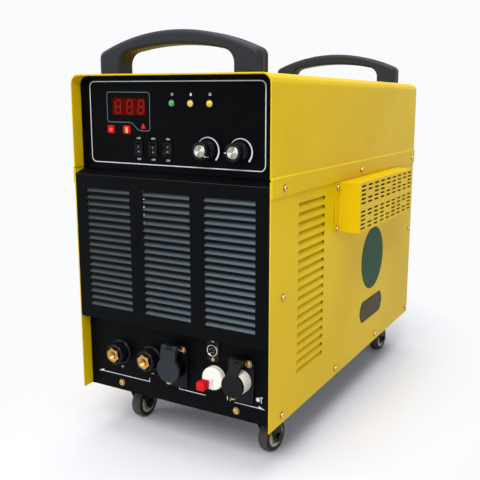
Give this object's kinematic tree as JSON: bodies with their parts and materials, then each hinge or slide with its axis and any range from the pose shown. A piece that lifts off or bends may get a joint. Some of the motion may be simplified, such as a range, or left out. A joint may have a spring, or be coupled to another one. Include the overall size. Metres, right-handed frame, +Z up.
{
  "type": "plasma cutter",
  "caption": "Plasma cutter power source with built-in compressor: boxy louvred sheet-metal case on swivel casters, carrying handles, control panel and connectors.",
  "frame": {"origin": "on the floor under the middle of the cabinet", "axes": "+Z up, -Y out of the front panel, +X to the right of someone facing it"},
  "size_m": [0.3932, 0.713, 0.652],
  "materials": {
    "yellow_paint": "satin powder coat",
    "black_paint": "satin powder coat",
    "zinc": "zinc-plated sheet",
    "bright_steel": "plated",
    "brass": "polished",
    "chrome": "polished",
    "aluminium": "satin",
    "handle_black": "grained",
    "black_plastic": "moulded",
    "gloss_black": "moulded",
    "red_filter": "clear",
    "lamp_lens": "clear",
    "warning_lens": "clear",
    "white_plastic": "moulded",
    "red_plastic": "moulded",
    "hub_plastic": "moulded",
    "tyre": "smooth",
    "rubber": "matt",
    "core": "varnished laminations",
    "circuit": "moulded"
  },
  "bodies": {
    "case": {"base_plate": "zinc", "mid_shelf": "zinc", "control_panel": "black_paint", "louvre_panel": "black_paint", "lower_panel": "black_paint", "rear_panel": "black_paint", "side_panel_left": "yellow_paint", "side_panel_right": "yellow_paint", "top_cover": "yellow_paint", "vent_box": "yellow_paint", "front_handle": "handle_black", "rear_handle": "handle_black", "hex_bolts": "bright_steel", "case_screws": "brass", "display_window": "red_filter", "display_module": "circuit", "status_lamps": "lamp_lens", "warning_lamps": "warning_lens", "rocker_bezels": "gloss_black", "potentiometers": "bright_steel", "terminal_rings": "black_plastic", "terminal_nuts": "brass", "outlet_body": "black_plastic", "outlet_pin": "bright_steel", "pilot_socket": "chrome", "air_fitting": "white_plastic", "inlet_body": "white_plastic", "caster_plates": "bright_steel", "fan_frame": "black_plastic", "fan_guard": "chrome", "breaker": "black_plastic", "cable_gland": "black_plastic", "compressor": "aluminium", "compressor_feet": "rubber", "transformer": "core", "heatsink": "aluminium"},
    "current_knob": {"current_knob": "gloss_black", "current_knob_cap": "aluminium"},
    "pressure_knob": {"pressure_knob": "gloss_black", "pressure_knob_cap": "aluminium"},
    "rocker_left": {"rocker_left": "gloss_black"},
    "rocker_middle": {"rocker_middle": "gloss_black"},
    "rocker_right": {"rocker_right": "gloss_black"},
    "outlet_lid": {"outlet_lid": "gloss_black"},
    "inlet_cap": {"inlet_cap": "gloss_black"},
    "valve_knob": {"valve_knob": "red_plastic"},
    "fan_rotor": {"fan_rotor": "black_plastic"},
    "breaker_lever": {"breaker_lever": "gloss_black"},
    "fork_front_left": {"fork_front_left": "black_paint"},
    "wheel_front_left": {"hub_front_left": "hub_plastic", "tyre_front_left": "tyre"},
    "fork_front_right": {"fork_front_right": "black_paint"},
    "wheel_front_right": {"hub_front_right": "hub_plastic", "tyre_front_right": "tyre"},
    "fork_rear_left": {"fork_rear_left": "black_paint"},
    "wheel_rear_left": {"hub_rear_left": "hub_plastic", "tyre_rear_left": "tyre"},
    "fork_rear_right": {"fork_rear_right": "black_paint"},
    "wheel_rear_right": {"hub_rear_right": "hub_plastic", "tyre_rear_right": "tyre"}
  },
  "joints": [
    {"name": "swivel_front_left", "type": "hinge", "parent": "case", "child": "fork_front_left", "pos_m": [-0.126, -0.258, 0.0625], "axis": [0, 0, 1], "continuous": true},
    {"name": "roll_front_left", "type": "hinge", "parent": "fork_front_left", "child": "wheel_front_left", "pos_m": [-0.126, -0.238, 0.0265], "axis": [1, 0, 0], "continuous": true},
    {"name": "swivel_front_right", "type": "hinge", "parent": "case", "child": "fork_front_right", "pos_m": [0.126, -0.258, 0.0625], "axis": [0, 0, 1], "continuous": true},
    {"name": "roll_front_right", "type": "hinge", "parent": "fork_front_right", "child": "wheel_front_right", "pos_m": [0.12844, -0.23815, 0.0265], "axis": [0.9925, -0.1219, 0], "continuous": true},
    {"name": "swivel_rear_left", "type": "hinge", "parent": "case", "child": "fork_rear_left", "pos_m": [-0.126, 0.258, 0.0625], "axis": [0, 0, 1], "continuous": true},
    {"name": "roll_rear_left", "type": "hinge", "parent": "fork_rear_left", "child": "wheel_rear_left", "pos_m": [-0.126, 0.278, 0.0265], "axis": [1, 0, 0], "continuous": true},
    {"name": "swivel_rear_right", "type": "hinge", "parent": "case", "child": "fork_rear_right", "pos_m": [0.126, 0.258, 0.0625], "axis": [0, 0, 1], "continuous": true},
    {"name": "roll_rear_right", "type": "hinge", "parent": "fork_rear_right", "child": "wheel_rear_right", "pos_m": [0.12809, 0.27789, 0.0265], "axis": [0.9945, -0.1045, 0], "continuous": true},
    {"name": "current_turn", "type": "hinge", "parent": "case", "child": "current_knob", "pos_m": [0.0625, -0.316, 0.4815], "axis": [0, -1, 0], "range_deg": [-5, 265]},
    {"name": "pressure_turn", "type": "hinge", "parent": "case", "child": "pressure_knob", "pos_m": [0.1165, -0.316, 0.4815], "axis": [0, -1, 0], "range_deg": [-225, 45]},
    {"name": "rocker_left_tilt", "type": "hinge", "parent": "case", "child": "rocker_left", "pos_m": [-0.061, -0.312, 0.479], "axis": [-1, 0, 0], "range_deg": [0, 16]},
    {"name": "rocker_middle_tilt", "type": "hinge", "parent": "case", "child": "rocker_middle", "pos_m": [-0.034, -0.312, 0.479], "axis": [-1, 0, 0], "range_deg": [0, 16]},
    {"name": "rocker_right_tilt", "type": "hinge", "parent": "case", "child": "rocker_right", "pos_m": [-0.007, -0.312, 0.479], "axis": [1, 0, 0], "range_deg": [0, 16]},
    {"name": "outlet_lid_swing", "type": "hinge", "parent": "case", "child": "outlet_lid", "pos_m": [0.002, -0.333, 0.179], "axis": [-1, 0, 0], "range_deg": [0, 110]},
    {"name": "inlet_cap_swing", "type": "hinge", "parent": "case", "child": "inlet_cap", "pos_m": [0.119, -0.328, 0.178], "axis": [-1, 0, 0], "range_deg": [0, 110]},
    {"name": "valve_turn", "type": "hinge", "parent": "case", "child": "valve_knob", "pos_m": [0.0725, -0.351, 0.141], "axis": [0, -1, 0], "range_deg": [0, 90]},
    {"name": "fan_spin", "type": "hinge", "parent": "case", "child": "fan_rotor", "pos_m": [0, 0.3, 0.413], "axis": [0, 1, 0], "continuous": true},
    {"name": "breaker_throw", "type": "hinge", "parent": "case", "child": "breaker_lever", "pos_m": [-0.095, 0.323, 0.231], "axis": [1, 0, 0], "range_deg": [0, 60]}
  ]
}
